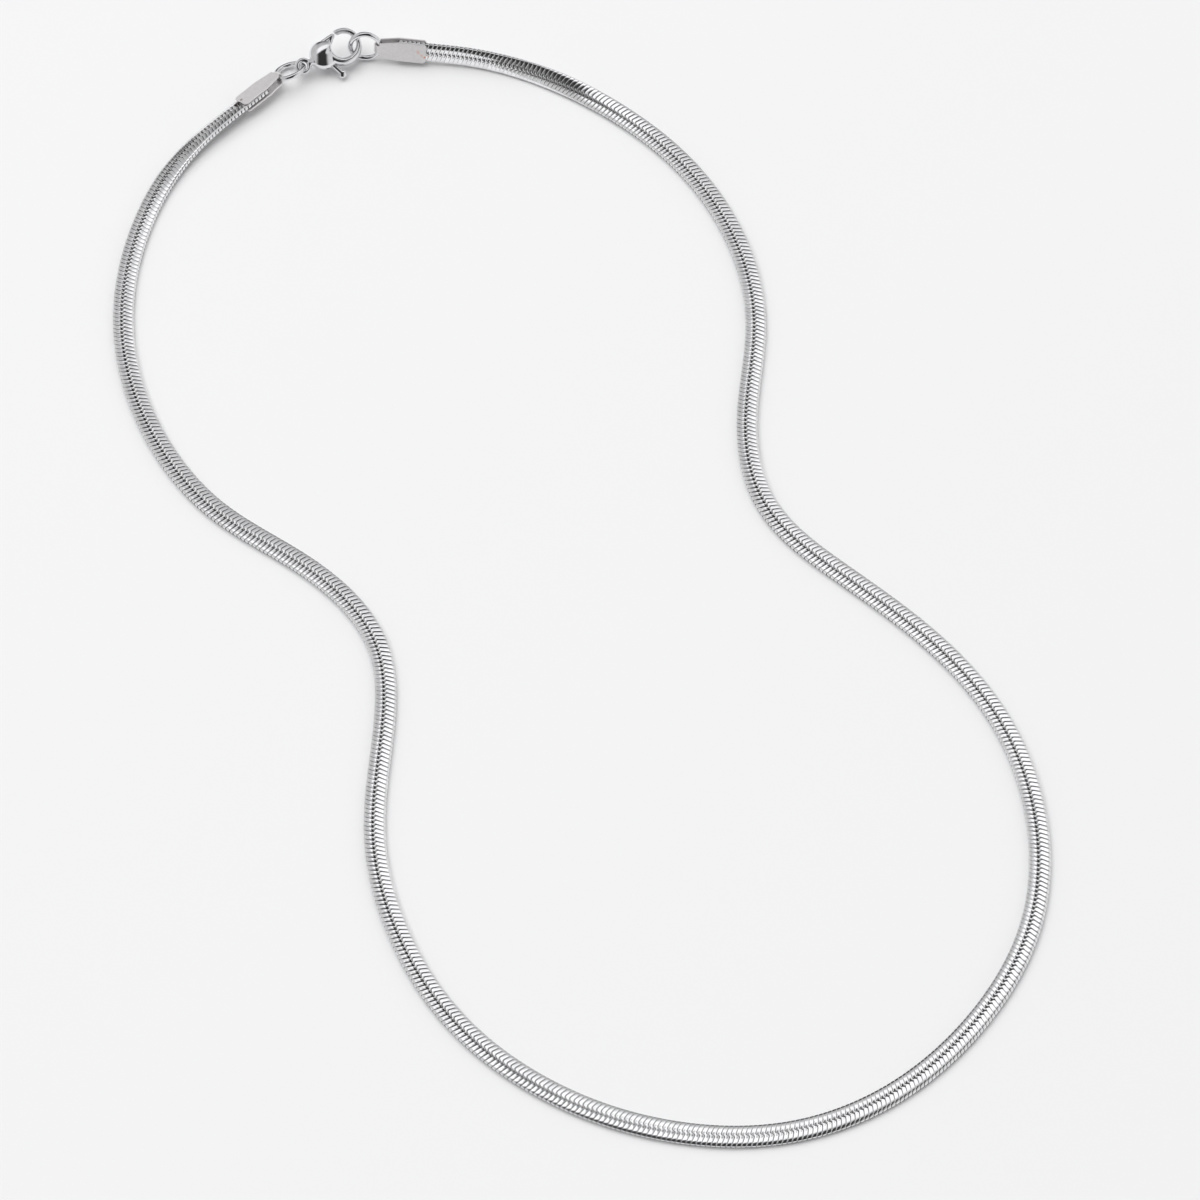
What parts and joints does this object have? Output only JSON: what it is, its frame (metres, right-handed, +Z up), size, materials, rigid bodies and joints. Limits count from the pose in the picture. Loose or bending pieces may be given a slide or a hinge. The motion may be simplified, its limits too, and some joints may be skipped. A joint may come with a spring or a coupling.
{
  "type": "necklace chain",
  "caption": "Flat herringbone necklace chain in polished steel, closed with folded end caps, jump rings and a lobster clasp with a sprung lever, lying open in a curved loop.",
  "frame": {"origin": "middle of the part's footprint, on the surface that it lies on", "axes": "+X to the right as the loop is seen, +Y away from the viewer towards the clasp, +Z up from the surface"},
  "size_m": [0.1261, 0.1694, 0.005],
  "materials": {
    "polished_chain": "polished stainless steel links pressed flat, with dark seams between them",
    "satin_cap": "satin stainless steel sheet with bright edges and a few faint warm stains",
    "bright_fittings": "tumbled and polished stainless steel"
  },
  "bodies": {
    "necklace": {"chain": "polished_chain", "clasp_end_cap": "satin_cap", "catch_end_cap": "satin_cap", "clasp_ring": "bright_fittings", "catch_ring": "bright_fittings", "clasp_body": "bright_fittings"},
    "lever": {"clasp_lever": "bright_fittings"}
  },
  "joints": [
    {"name": "lever_hinge", "type": "hinge", "parent": "necklace", "child": "lever", "pos_m": [-0.03471, 0.08054, 0.00228], "axis": [-0.1366, 0.4557, -0.8796], "range_deg": [0, 25], "stiffness_Nm_per_rad": 0.004, "springref_deg": -8.59}
  ]
}
